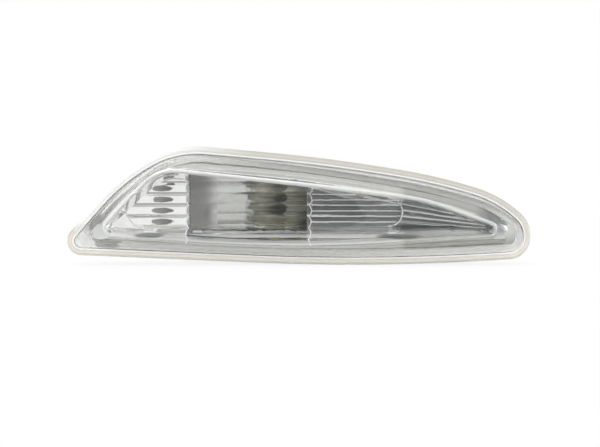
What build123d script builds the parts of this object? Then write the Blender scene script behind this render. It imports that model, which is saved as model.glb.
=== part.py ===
"""Side repeater lamp for a car's front wing.

A clear crowned lens and a soft seal stand on the wing. Behind the lens sits a bright ribbed reflector
with a deep scoop. A rear housing carries a retaining spring and a twist-lock holder with a wedge bulb.

Frame: +X runs along the lamp towards its narrow end, +Z is up and the lens faces -Y.
The origin is on the outer face of the wing, at the middle of the seal ring.
"""

import os
from math import cos, radians, sin, sqrt

from build123d import *

# Front outline of the lamp: polygon corners (x, z) with the radius that rounds each one
NOSE_X = 65.0
TAIL_X = -69.35
OUTLINE = [
    (TAIL_X, -13.34, 4.0),
    (-50.48, 8.14, 56.0),
    (-34.59, 17.38, 28.0),
    (6.26, 13.79, 477.0),
    (38.58, 8.62, 163.0),
    (56.13, 3.26, 33.0),
    (NOSE_X, -4.38, 8.4),
    (NOSE_X, -14.52, 6.2),
    (20.36, -17.18, 645.0),
]
# Lip of the reflector's leaf-shaped pocket, corner for corner with the outline
POCKET_TAIL_X = -56.3
POCKET_NOSE_TOP = -5.05
POCKET_NOSE_BOTTOM = -7.86
POCKET_BOTTOM = -12.07
POCKET = [
    (POCKET_TAIL_X, -7.30, 2.0),
    (-48.15, 1.40, 30.0),
    (-38.89, 10.25, 12.0),
    (5.48, 5.62, 400.0),
    (35.52, 1.83, 60.0),
    (47.59, -2.39, 40.0),
    (54.89, POCKET_NOSE_TOP, 1.4),
    (54.89, POCKET_NOSE_BOTTOM, 1.2),
    (-6.60, POCKET_BOTTOM, 440.0),
]

# Stack of the rim, measured forward from the wing
SEAL_LIP = 1.2
FLANGE = 1.3
SEAL_HEIGHT = 3.2
CROWN_HEIGHT = 12.5
POCKET_LIP_HEIGHT = 5.0

# Widths of the rim, measured inwards from the outline
SEAL_WIDTH = 2.1
SEAL_FIT = 0.05
SEAL_SEAT_WIDTH = 4.2
SEAL_ROUND = 1.0

# Lens
LENS_WALL = 2.0
LENS_GAP = 0.05
LENS_DRAFT = 5.0
LENS_CORNER = 3.0
CROWN_RADIUS = 27.0
CROWN_LENGTH_RADIUS = 700.0
CROWN_Z = -2.0
SHOULDER_ROUND = 2.4

# Reflector
REFLECTOR_WALL = 1.2
REFLECTOR_GAP = 0.3
REFLECTOR_CORNER = 1.7
INNER_CORNER = 0.5
LEAST_CORNER = 0.3
RIM_SHARE = 0.6
RIM_ROLL = 0.8
POCKET_DRAFT = 1.9
BEAD = 1.2
BEAD_ROUND = 0.5
BEAD_STEP = 0.25
FLOOR_DEPTH = 2.4
RIB_TOP = 9.4
RIB_PITCH = 3.1
RIB_COUNT = 6
RIB_SAGITTA = 0.34
SCOOP_SAGITTA = 0.16
LEFT_BANK_X = -36.0
LEFT_BANK_RADIUS = 50.0
RIGHT_BANK_X = 12.0
RIGHT_BANK_RADIUS = 300.0
RIGHT_BANK_SAGITTA = 0.2
TROUGH_LEFT = (-43.4, -0.84, 4.9)
TROUGH_RIGHT = (25.1, -1.7, 3.9)
SLOPE_TOP = -5.4
SLOPE_FOOT = 1.9
SLOPE_RIBS = 2
SLOPE_STEP = 0.8
SHELF_DEPTH = 0.6
SHELF_TIP_HEIGHT = 3.6
FAN_DEPTH = 0.9
FAN_TIP_HEIGHT = 2.0
FAN_RIBS = 7
FAN_START_X = 18.0
FAN_END_X = 56.0
FAN_Z = -6.0
FAN_TIP_Z = -6.8
FAN_PITCH = 2.15
FAN_TIP_PITCH = 0.6
FAN_SAGITTA = 0.2
FAN_TIP_SAGITTA = 0.06

# Scoop in the reflector, where the bulb stands
SCOOP_LEFT = -30.7
SCOOP_MOUTH = 2.4
SCOOP_RIGHT = 3.5
SCOOP_TOP_LEFT = 8.8
SCOOP_TOP_RIGHT = 5.9
SCOOP_BOTTOM = -6.6
SCOOP_DEPTH = 19.6
SCOOP_CENTRE_X = -6.3
SCOOP_RADIUS = 125.0
SCOOP_END_RADIUS = 12.0
BOWL_SWEEP = 30.0
BOWL_END_SWEEP = 120.0
BULB_HOLE_GAP = 0.8

# Housing
HOUSING_WALL = 1.4
HOUSING_GAP = 0.3
BACK_ROUND = 1.6
TUNNEL_RADIUS = 8.2
TUNNEL_WALL = 1.0
SADDLE_WIDTH = 7.0
COLLAR_X = 23.5
COLLAR_WALL = 2.5

# Fixings on the wing: moulded tongue at the narrow end, spring at the broad end
WING_GAP = 2.1
TONGUE_THICKNESS = 1.8
TONGUE_WIDTH = 6.0
TONGUE_END_X = 63.6
TONGUE_Z = -9.2
TONGUE_LEAD = 0.6
SPRING_THICKNESS = 0.5
SPRING_WIDTH = 3.2
SPRING_Z = -7.6
SPRING_ROOT_X = -38.0
SPRING_BEND_X = -60.3
SPRING_NOSE_X = -62.6
SPRING_TIP_X = -60.6
SPRING_BEND = 0.8
STAKE_X = -45.0
STAKE_RADIUS = 0.8
STAKE_HEAD_RADIUS = 1.5
STAKE_HEAD = 0.9
STAKE_TAPER = 20.0
STAKE_FIT = 0.1

# Bulb, holder and terminals, all about one axis along X
AXIS_Z = -1.6
HOLDER_CLEARANCE = 0.1
BULB_RADIUS = 4.9
BULB_TIP_X = 2.5
BULB_GLASS_LENGTH = 15.5
GLASS_WALL = 0.7
PINCH_LENGTH = 7.4
PINCH_WIDTH = 8.8
PINCH_THICKNESS = 2.3
FILAMENT_X = 8.9
FILAMENT_RADIUS = 0.35
FILAMENT_RISE = 1.0
FILAMENT_GAP = 0.2
LEAD_RADIUS = 0.25
LEAD_SPACING = 4.4
LEAD_FIT = 0.03
LEAD_BEND = 0.4
NECK_RADIUS = 5.9
BORE_CLEARANCE = 0.15
LUG_RADIUS = 7.0
LUG_LENGTH = 2.0
LUG_WIDTH = 3.2
LUG_CLEARANCE = 0.15
LUG_COUNT = 3
TWIST = 45.0
GASKET_THICKNESS = 0.8
GASKET_GAP = 0.05
FLANGE_RADIUS = 8.0
HOLDER_FLANGE = 1.7
SOCKET_FIT = 0.1
SHROUD_WIDTH = 12.6
SHROUD_HEIGHT = 9.0
SHROUD_WALL = 1.2
SHROUD_LENGTH = 16.0
SHROUD_ROUND = 2.0
PLUG_DEPTH = 12.8
GRIP_COUNT = 4
GRIP_RADIUS = 0.6
GRIP_LENGTH = 8.0
LATCH_WIDTH = 4.0
LATCH_LENGTH = 3.0
LATCH_HEIGHT = 1.0
LATCH_SETBACK = 2.5
BLADE_WIDTH = 2.6
BLADE_THICKNESS = 0.5
BLADE_REACH = 8.2
CONTACT_SPRING_GAP = 0.05

# Levels and insets that follow from the sizes above
FLANGE_FRONT = SEAL_LIP + FLANGE
LENS_BASE = FLANGE_FRONT + LENS_GAP
LENS_INSET = SEAL_WIDTH + SEAL_FIT
REFLECTOR_INSET = LENS_INSET + LENS_WALL + REFLECTOR_GAP
TUB_INSET = SEAL_SEAT_WIDTH + SEAL_FIT
TUB_INNER_INSET = TUB_INSET + HOUSING_WALL
BACKING_INSET = TUB_INNER_INSET + HOUSING_GAP
REFLECTOR_BACK = FLOOR_DEPTH + REFLECTOR_WALL
TUB_FLOOR = REFLECTOR_BACK + HOUSING_GAP
TUB_BACK = TUB_FLOOR + HOUSING_WALL
AXIS_Y = TUB_BACK + 2 * HOUSING_GAP + FLANGE_RADIUS
SCOOP_BACK = SCOOP_DEPTH + REFLECTOR_WALL
BOX_BACK = SCOOP_BACK + HOUSING_GAP + HOUSING_WALL
BORE_RADIUS = NECK_RADIUS + BORE_CLEARANCE
CHAMBER_RADIUS = TUNNEL_RADIUS - TUNNEL_WALL
COLLAR_END = COLLAR_X + COLLAR_WALL
HOLDER_FACE = COLLAR_END + GASKET_GAP + GASKET_THICKNESS
SHROUD_START = HOLDER_FACE + HOLDER_FLANGE
SHROUD_END = SHROUD_START + SHROUD_LENGTH
PLUG_FLOOR = SHROUD_END - PLUG_DEPTH
GLASS_END = BULB_TIP_X + BULB_GLASS_LENGTH
PINCH_END = GLASS_END + PINCH_LENGTH
NECK_FACE = GLASS_END + SOCKET_FIT
LEAD_FOLD = PINCH_THICKNESS / 2 + LEAD_RADIUS + LEAD_FIT
CONTACT_OFFSET = LEAD_FOLD + LEAD_RADIUS + CONTACT_SPRING_GAP + BLADE_THICKNESS / 2
SOCKET_END = PINCH_END + 4 * LEAD_RADIUS
BULB_AXIS = Plane(origin=(0, AXIS_Y, AXIS_Z), x_dir=(0, 1, 0), z_dir=(1, 0, 0))
BULB_SECTION = Plane(origin=(0, AXIS_Y, AXIS_Z))
BULB_LINE = Axis((0, AXIS_Y, AXIS_Z), (1, 0, 0))


def moved_in(corners, inset, least_radius):
    """Corners of a convex rounded polygon after every side moves in by inset."""
    moved = []
    for i, (x, z, radius) in enumerate(corners):
        here = Vector(x, z)
        before = Vector(*corners[i - 1][:2])
        after = Vector(*corners[(i + 1) % len(corners)][:2])
        to_before = (before - here).normalized()
        to_after = (after - here).normalized()
        half_angle = radians(to_before.get_angle(to_after)) / 2
        corner = here + (to_before + to_after).normalized() * (inset / sin(half_angle))
        moved.append((corner.X, corner.Y, max(radius - inset, least_radius)))
    return moved


def blended(corners, others, share):
    """Corners part of the way from one rounded polygon to another."""
    return [
        tuple(a + (b - a) * share for a, b in zip(corner, other))
        for corner, other in zip(corners, others)
    ]


def rounded_face(corners):
    """Flat face of a rounded polygon."""
    with BuildSketch() as face:
        with BuildLine():
            FilletPolyline(*[corner[:2] for corner in corners], radius=[corner[2] for corner in corners], close=True)
        make_face()
    return face.sketch


def ribbed_face(valleys, sagitta, front):
    """Flat face with a row of raised ribs through the valley points, closed along a straight front."""
    with BuildSketch() as face:
        with BuildLine():
            for start, end in zip(valleys, valleys[1:]):
                SagittaArc(start, end, -sagitta)
            Polyline(valleys[-1], (front, valleys[-1][1]), (front, valleys[0][1]), valleys[0])
        make_face()
    return face.sketch


def lug_face(outer, width, turn):
    """Flat face of the bayonet lugs, or of the notches that they pass, around the bulb axis."""
    with BuildSketch() as face:
        with PolarLocations(0, LUG_COUNT, start_angle=90 + turn):
            Rectangle(outer, width, align=(Align.MIN, Align.CENTER))
        Circle(outer, mode=Mode.INTERSECT)
    return face.sketch


def front_plane(height):
    """Sketch plane parallel to the wing, the given height in front of it."""
    return Plane.XZ.offset(height)


def slab(corners, back, front):
    """Solid between two depths in front of the wing with a rounded polygon outline."""
    with BuildPart() as solid:
        with BuildSketch(front_plane(back)):
            add(rounded_face(corners))
        extrude(amount=front - back)
    return solid.part


def crowned_dome(inset, crown_radius, corner):
    """Solid with drafted sides under a barrel-shaped front."""
    axis_y = CROWN_RADIUS - CROWN_HEIGHT
    half = NOSE_X - TAIL_X
    drop = CROWN_LENGTH_RADIUS - sqrt(CROWN_LENGTH_RADIUS**2 - half**2)
    with BuildPart() as dome:
        with BuildSketch(front_plane(LENS_BASE)):
            add(rounded_face(moved_in(OUTLINE, inset, corner)))
        extrude(amount=CROWN_HEIGHT, taper=LENS_DRAFT)
        with BuildSketch(Plane.XY.offset(CROWN_Z)):
            with BuildLine():
                end_y = axis_y - crown_radius + drop
                arc = ThreePointArc((-half, end_y), (0, axis_y - crown_radius), (half, end_y))
                Polyline(arc @ 1, (half, axis_y), (-half, axis_y), arc @ 0)
            make_face()
        revolve(axis=Axis((0, axis_y, CROWN_Z), (1, 0, 0)), mode=Mode.INTERSECT)
    return dome.part


# Lens: a crowned dome with rounded shoulders, hollowed to an even wall
outer_dome = crowned_dome(LENS_INSET, CROWN_RADIUS, LENS_CORNER)
inner_dome = crowned_dome(LENS_INSET + LENS_WALL, CROWN_RADIUS - LENS_WALL, LENS_CORNER - LENS_WALL / 2)
with BuildPart() as lens:
    add(outer_dome)
    fillet(lens.faces().sort_by(Axis.Y)[0].edges(), SHOULDER_ROUND)
    add(inner_dome, mode=Mode.SUBTRACT)

# Seal: a soft ring with a lip under the housing flange and a rounded bead around the lens
with BuildPart() as seal:
    add(slab(OUTLINE, 0, SEAL_HEIGHT))
    fillet(seal.faces().sort_by(Axis.Y)[0].edges(), SEAL_ROUND)
    add(slab(moved_in(OUTLINE, SEAL_WIDTH, 1.0), SEAL_LIP, SEAL_HEIGHT + 1), mode=Mode.SUBTRACT)
    add(slab(moved_in(OUTLINE, SEAL_SEAT_WIDTH, 1.0), -1, SEAL_HEIGHT), mode=Mode.SUBTRACT)

# Reflector body: a rolled rim around the pocket, a backing in the housing and a box behind the scoop
rim_corners = moved_in(OUTLINE, REFLECTOR_INSET, REFLECTOR_CORNER)
bead_corners = moved_in(POCKET, -BEAD / 2, 0)
bead_height = POCKET_LIP_HEIGHT - BEAD_ROUND
rim_height = bead_height - BEAD_STEP - FLANGE_FRONT
scoop_corners = [
    (SCOOP_LEFT, SCOOP_TOP_LEFT),
    (SCOOP_RIGHT, SCOOP_TOP_RIGHT),
    (SCOOP_RIGHT, SCOOP_BOTTOM),
    (SCOOP_LEFT, SCOOP_BOTTOM),
]
with BuildPart() as bead:
    add(slab(bead_corners, bead_height - REFLECTOR_WALL, POCKET_LIP_HEIGHT))
    fillet(bead.faces().sort_by(Axis.Y)[0].edges(), BEAD_ROUND)
with BuildPart() as reflector_body:
    for share, rise in ((0, 0), (RIM_SHARE, RIM_ROLL), (1, 1)):
        with BuildSketch(front_plane(FLANGE_FRONT + rise * rim_height)):
            add(rounded_face(blended(rim_corners, bead_corners, share)))
    loft()
    add(bead.part)
    add(slab(moved_in(OUTLINE, BACKING_INSET, INNER_CORNER), -REFLECTOR_BACK, FLANGE_FRONT))
    with BuildSketch(front_plane(-FLOOR_DEPTH)):
        Polygon(*scoop_corners, align=None)
        offset(amount=REFLECTOR_WALL, kind=Kind.ARC)
    extrude(amount=FLOOR_DEPTH - SCOOP_BACK)

# Pocket: everything in front of the ribs and inside the drafted leaf
cavity_corners = moved_in(POCKET, BEAD / 2, INNER_CORNER)
leaf_sections = [
    (CROWN_HEIGHT, moved_in(POCKET, BEAD / 2 - BEAD_ROUND, INNER_CORNER)),
    (POCKET_LIP_HEIGHT, moved_in(POCKET, BEAD / 2 - BEAD_ROUND, INNER_CORNER)),
    (bead_height, cavity_corners),
    (-FLOOR_DEPTH, moved_in(POCKET, BEAD / 2 + POCKET_DRAFT, LEAST_CORNER)),
]
with BuildPart() as leaf:
    for height, corners in leaf_sections:
        with BuildSketch(front_plane(height)):
            add(rounded_face(corners))
    loft(ruled=True)

rib_levels = [RIB_TOP - i * RIB_PITCH for i in range(RIB_COUNT + 1)]


def rib_bank(centre_x, depth, radius, sagitta, left, right):
    """Space in front of a row of ribs that curves about an upright axis, between two X positions."""
    axis_y = depth - radius
    with BuildPart() as bank:
        with BuildSketch(Plane.YZ.offset(centre_x)):
            add(ribbed_face([(depth, z) for z in rib_levels], sagitta, axis_y))
        revolve(axis=Axis((centre_x, axis_y, 0), (0, 0, 1)), revolution_arc=360)
        with Locations(((left + right) / 2, 0, 0)):
            Box(right - left, 3 * CROWN_RADIUS, 3 * CROWN_RADIUS, mode=Mode.INTERSECT)
    return bank.part


middle_x = (SCOOP_LEFT + SCOOP_MOUTH) / 2
left_bank = rib_bank(LEFT_BANK_X, FLOOR_DEPTH, LEFT_BANK_RADIUS, RIB_SAGITTA, TAIL_X, middle_x)
right_bank = rib_bank(RIGHT_BANK_X, FLOOR_DEPTH, RIGHT_BANK_RADIUS, RIGHT_BANK_SAGITTA, middle_x, NOSE_X)
with BuildPart() as trough:
    with BuildSketch(front_plane(-REFLECTOR_BACK)):
        for x, z, radius in (TROUGH_LEFT, TROUGH_RIGHT):
            with Locations((x, z)):
                Circle(radius)
        Polygon(
            (TROUGH_LEFT[0], RIB_TOP),
            (TROUGH_RIGHT[0], RIB_TOP),
            (TROUGH_RIGHT[0], TROUGH_RIGHT[1] - TROUGH_RIGHT[2]),
            (TROUGH_LEFT[0], TROUGH_LEFT[1] - TROUGH_LEFT[2]),
            align=None,
        )
    extrude(amount=REFLECTOR_BACK + CROWN_HEIGHT)
    add(left_bank.fuse(right_bank), mode=Mode.INTERSECT)
    add(leaf.part, mode=Mode.INTERSECT)

# Ribbed slope below the trough, plain shelf at the broad end and a fan of ribs at the narrow end
slope_valleys = [
    (
        SLOPE_FOOT - (SLOPE_FOOT + POCKET_LIP_HEIGHT) * i / SLOPE_RIBS,
        SLOPE_TOP + (POCKET_BOTTOM - SLOPE_TOP) * i / SLOPE_RIBS,
    )
    for i in range(SLOPE_RIBS + 1)
]
fan_steps = range(FAN_RIBS, -1, -1)
with BuildPart() as slope:
    with BuildSketch(Plane.YZ.offset(TROUGH_LEFT[0])):
        add(ribbed_face(slope_valleys, RIB_SAGITTA, -CROWN_HEIGHT))
    extrude(amount=TROUGH_RIGHT[0] - TROUGH_LEFT[0])
    with BuildSketch(Plane.YZ.offset(SCOOP_LEFT)):
        stepped = [(y + SLOPE_STEP * (1 - i / SLOPE_RIBS), z) for i, (y, z) in enumerate(slope_valleys)]
        add(ribbed_face(stepped, RIB_SAGITTA, -CROWN_HEIGHT))
    extrude(amount=SCOOP_MOUTH - SCOOP_LEFT)
    with BuildSketch(Plane.YZ.offset(TROUGH_RIGHT[0])):
        add(ribbed_face(slope_valleys, RIB_SAGITTA, -CROWN_HEIGHT))
    with BuildSketch(Plane.YZ.offset(FAN_END_X)):
        fade = SLOPE_FOOT + FAN_TIP_HEIGHT
        add(ribbed_face([(y - fade, z) for y, z in slope_valleys], RIB_SAGITTA, -CROWN_HEIGHT))
    loft(ruled=True)
    add(leaf.part, mode=Mode.INTERSECT)
with BuildPart() as shelf:
    with BuildSketch(Plane.XY):
        Polygon(
            (POCKET_TAIL_X, -CROWN_HEIGHT),
            (POCKET_TAIL_X, -SHELF_TIP_HEIGHT),
            (TROUGH_LEFT[0] - TROUGH_LEFT[2], SHELF_DEPTH),
            (TROUGH_LEFT[0], SHELF_DEPTH),
            (TROUGH_LEFT[0], -CROWN_HEIGHT),
            align=None,
        )
    extrude(amount=CROWN_RADIUS, both=True)
    add(leaf.part, mode=Mode.INTERSECT)
with BuildPart() as fan:
    with BuildSketch(Plane.YZ.offset(FAN_START_X)):
        valleys = [(FAN_DEPTH, FAN_Z + i * FAN_PITCH) for i in fan_steps]
        add(ribbed_face(valleys, FAN_SAGITTA, -CROWN_HEIGHT))
    with BuildSketch(Plane.YZ.offset(FAN_END_X)):
        valleys = [(-FAN_TIP_HEIGHT, FAN_TIP_Z + i * FAN_TIP_PITCH) for i in fan_steps]
        add(ribbed_face(valleys, FAN_TIP_SAGITTA, -CROWN_HEIGHT))
    loft(ruled=True)
    add(leaf.part, mode=Mode.INTERSECT)

# Scoop: a deep ribbed bowl, wider behind the right bank than at its mouth
end_x = SCOOP_LEFT + SCOOP_END_RADIUS
scoop_axis_y = SCOOP_DEPTH - SCOOP_RADIUS
reach = SCOOP_RADIUS - SCOOP_END_RADIUS
end_y = scoop_axis_y + sqrt(reach**2 - (end_x - SCOOP_CENTRE_X) ** 2)
radial = Vector(end_x - SCOOP_CENTRE_X, end_y - scoop_axis_y).normalized()
bowl_plane = Plane(
    origin=(SCOOP_CENTRE_X, scoop_axis_y, 0),
    x_dir=(radial.X, radial.Y, 0),
    z_dir=(radial.Y, -radial.X, 0),
)
bowl_valleys = [(SCOOP_RADIUS, z) for z in rib_levels]
with BuildPart() as bowl:
    with BuildSketch(bowl_plane):
        add(ribbed_face(bowl_valleys, SCOOP_SAGITTA, 0))
    revolve(axis=Axis((SCOOP_CENTRE_X, scoop_axis_y, 0), (0, 0, -1)), revolution_arc=BOWL_SWEEP)
    with BuildSketch(bowl_plane):
        add(ribbed_face(bowl_valleys, SCOOP_SAGITTA, reach))
    revolve(axis=Axis((end_x, end_y, 0), (0, 0, 1)), revolution_arc=BOWL_END_SWEEP)
with BuildPart() as scoop_plan:
    with BuildSketch(front_plane(-SCOOP_DEPTH)):
        Polygon(*scoop_corners, align=None)
    extrude(amount=SCOOP_DEPTH - end_y)
    add(bowl.part, mode=Mode.INTERSECT)
with BuildPart() as mouth:
    with BuildSketch(front_plane(-REFLECTOR_BACK)):
        Polygon(
            (SCOOP_LEFT, SCOOP_TOP_LEFT),
            (SCOOP_MOUTH, SCOOP_TOP_RIGHT),
            (SCOOP_MOUTH, SCOOP_BOTTOM),
            (SCOOP_LEFT, SCOOP_BOTTOM),
            align=None,
        )
    extrude(amount=REFLECTOR_BACK + bead_height)
with BuildPart() as scoop:
    with BuildSketch(front_plane(-end_y)):
        Polygon(*scoop_corners, align=None)
    extrude(amount=end_y - REFLECTOR_BACK)
    add(mouth.part)
    add(scoop_plan.part)

with BuildPart() as reflector:
    add(reflector_body.part)
    for space in (trough, slope, shelf, fan, scoop):
        add(space.part, mode=Mode.SUBTRACT)
    with BuildSketch(BULB_AXIS.offset(SCOOP_RIGHT)):
        Circle(BULB_RADIUS + BULB_HOLE_GAP)
    extrude(amount=REFLECTOR_WALL, mode=Mode.SUBTRACT)

# Housing: flange, shallow tub, deep box behind the scoop and a round tunnel for the bulb holder
box_inner = REFLECTOR_WALL + HOUSING_GAP
box_outer = box_inner + HOUSING_WALL
collar_length = COLLAR_END - SCOOP_RIGHT
with BuildPart() as housing:
    add(slab(moved_in(OUTLINE, LENS_INSET, 1.0), SEAL_LIP, FLANGE_FRONT))
    add(slab(moved_in(OUTLINE, TUB_INSET, 1.0), -TUB_BACK, SEAL_LIP))
    with BuildSketch(front_plane(-TUB_FLOOR)):
        Polygon(*scoop_corners, align=None)
        offset(amount=box_outer, kind=Kind.ARC)
    extrude(amount=TUB_FLOOR - BOX_BACK)
    fillet(housing.faces().sort_by(Axis.Y)[-1].edges(), BACK_ROUND)
    with BuildSketch(BULB_AXIS.offset(SCOOP_RIGHT)):
        Circle(TUNNEL_RADIUS)
    extrude(amount=collar_length)
    with Locations((SCOOP_RIGHT + collar_length / 2, (TUB_FLOOR + AXIS_Y) / 2, AXIS_Z)):
        Box(collar_length, AXIS_Y - TUB_FLOOR, SADDLE_WIDTH)
    # Tongue behind the wing, and a heat-staked post for the spring
    with Locations(((TONGUE_END_X + COLLAR_END) / 2, WING_GAP + TONGUE_THICKNESS / 2, TONGUE_Z)):
        Box(TONGUE_END_X - COLLAR_END, TONGUE_THICKNESS, TONGUE_WIDTH)
    chamfer(housing.faces().sort_by(Axis.X)[-1].edges().filter_by(Axis.Z), TONGUE_LEAD)
    with BuildSketch(front_plane(-TUB_BACK)):
        with Locations((STAKE_X, SPRING_Z)):
            Circle(STAKE_RADIUS)
    extrude(amount=-SPRING_THICKNESS)
    with BuildSketch(front_plane(-TUB_BACK - SPRING_THICKNESS)):
        with Locations((STAKE_X, SPRING_Z)):
            Circle(STAKE_HEAD_RADIUS)
    extrude(amount=-STAKE_HEAD, taper=STAKE_TAPER)
    # Space inside for the reflector, the bulb and the turning lugs
    add(slab(moved_in(OUTLINE, TUB_INNER_INSET, INNER_CORNER), -TUB_FLOOR, FLANGE_FRONT), mode=Mode.SUBTRACT)
    with BuildSketch(front_plane(0)):
        Polygon(*scoop_corners, align=None)
        offset(amount=box_inner, kind=Kind.ARC)
    extrude(amount=HOUSING_WALL - BOX_BACK, mode=Mode.SUBTRACT)
    with BuildSketch(BULB_AXIS.offset(SCOOP_RIGHT)):
        Circle(CHAMBER_RADIUS)
    extrude(amount=COLLAR_X - SCOOP_RIGHT, mode=Mode.SUBTRACT)
    with BuildSketch(BULB_AXIS.offset(COLLAR_X)):
        Circle(BORE_RADIUS)
        add(lug_face(LUG_RADIUS + LUG_CLEARANCE, LUG_WIDTH + 2 * LUG_CLEARANCE, TWIST))
    extrude(amount=COLLAR_WALL, mode=Mode.SUBTRACT)

# Retaining spring: a strip staked flat on the tub, with a springy nose behind the wing
strip_y = TUB_BACK + SPRING_THICKNESS / 2
with BuildPart() as retaining_spring:
    with BuildSketch(Plane.XY.offset(SPRING_Z)):
        with BuildLine() as strip:
            FilletPolyline(
                (SPRING_ROOT_X, strip_y),
                (SPRING_BEND_X, strip_y),
                (SPRING_NOSE_X, (strip_y + WING_GAP) / 2),
                (SPRING_TIP_X, WING_GAP + SPRING_THICKNESS),
                radius=SPRING_BEND,
            )
        trace(strip.line, SPRING_THICKNESS)
    extrude(amount=SPRING_WIDTH / 2, both=True)
    with BuildSketch(front_plane(-TUB_BACK)):
        with Locations((STAKE_X, SPRING_Z)):
            Circle(STAKE_RADIUS + STAKE_FIT)
    extrude(amount=-SPRING_THICKNESS, mode=Mode.SUBTRACT)

# Bulb: a glass envelope drawn in to a flat pinched base, with a filament on two folded leads
inner_radius = BULB_RADIUS - GLASS_WALL
inner_end = GLASS_END - BULB_RADIUS / 2
lead_z = LEAD_SPACING / 2
with BuildPart() as bulb_glass:
    with BuildSketch(BULB_SECTION):
        with BuildLine():
            tip = RadiusArc((BULB_TIP_X, 0), (BULB_TIP_X + BULB_RADIUS, BULB_RADIUS), BULB_RADIUS)
            Polyline(tip @ 1, (inner_end, BULB_RADIUS), (inner_end, 0), tip @ 0)
        make_face()
    revolve(axis=BULB_LINE)
    with BuildSketch(BULB_AXIS.offset(inner_end)):
        Circle(BULB_RADIUS)
    with BuildSketch(BULB_AXIS.offset(GLASS_END)):
        RectangleRounded(PINCH_THICKNESS, PINCH_WIDTH, PINCH_THICKNESS / 3)
    loft()
    with BuildSketch(BULB_AXIS.offset(GLASS_END)):
        RectangleRounded(PINCH_THICKNESS, PINCH_WIDTH, PINCH_THICKNESS / 3)
    extrude(amount=PINCH_LENGTH)
    with BuildSketch(BULB_SECTION):
        with BuildLine():
            tip = RadiusArc((BULB_TIP_X + GLASS_WALL, 0), (BULB_TIP_X + BULB_RADIUS, inner_radius), inner_radius)
            Polyline(tip @ 1, (inner_end, inner_radius), (inner_end, 0), tip @ 0)
        make_face()
    revolve(axis=BULB_LINE, mode=Mode.SUBTRACT)
    with BuildSketch(BULB_AXIS.offset(inner_end)):
        with Locations((0, lead_z), (0, -lead_z)):
            Circle(LEAD_RADIUS + LEAD_FIT)
    extrude(amount=PINCH_END - inner_end, mode=Mode.SUBTRACT)


def lead_wire(side):
    """Lead of the bulb: straight through the pinch, then folded back along its flat face."""
    with BuildPart() as wire:
        with BuildLine(BULB_SECTION) as path:
            FilletPolyline(
                (FILAMENT_X - FILAMENT_RADIUS, 0, side * lead_z),
                (PINCH_END + 2 * LEAD_RADIUS, 0, side * lead_z),
                (PINCH_END + 2 * LEAD_RADIUS, side * LEAD_FOLD, side * lead_z),
                (PINCH_END - PINCH_LENGTH / 2, side * LEAD_FOLD, side * lead_z),
                radius=LEAD_BEND,
            )
        with BuildSketch(Plane(path.line @ 0, z_dir=path.line % 0)):
            Circle(LEAD_RADIUS)
        sweep()
    return wire


lead_wire_live = lead_wire(1)
lead_wire_earth = lead_wire(-1)

with BuildPart() as filament:
    coil_z = lead_z - LEAD_RADIUS - FILAMENT_GAP
    with BuildLine(BULB_SECTION) as coil:
        ThreePointArc((FILAMENT_X, 0, coil_z), (FILAMENT_X - FILAMENT_RISE, 0, 0), (FILAMENT_X, 0, -coil_z))
    with BuildSketch(Plane(coil.line @ 0, z_dir=coil.line % 0)):
        Circle(FILAMENT_RADIUS)
    sweep()


def terminal(side, spare):
    """Brass terminal from the bulb socket to the plug, or with spare its slot in the holder."""
    start_x = PINCH_END - PINCH_LENGTH / 2
    with BuildPart() as strip:
        with BuildSketch(BULB_SECTION.offset(side * lead_z)):
            with BuildLine() as path:
                FilletPolyline(
                    (start_x, side * CONTACT_OFFSET),
                    (SOCKET_END, side * CONTACT_OFFSET),
                    (SOCKET_END + CONTACT_OFFSET, 0),
                    (PLUG_FLOOR + BLADE_REACH, 0),
                    radius=LEAD_BEND,
                )
            trace(path.line, BLADE_THICKNESS + 2 * spare)
        extrude(amount=BLADE_WIDTH / 2 + spare, both=True)
    return strip


contact_live = terminal(1, 0)
contact_earth = terminal(-1, 0)
live_slot = terminal(1, SOCKET_FIT)
earth_slot = terminal(-1, SOCKET_FIT)

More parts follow.
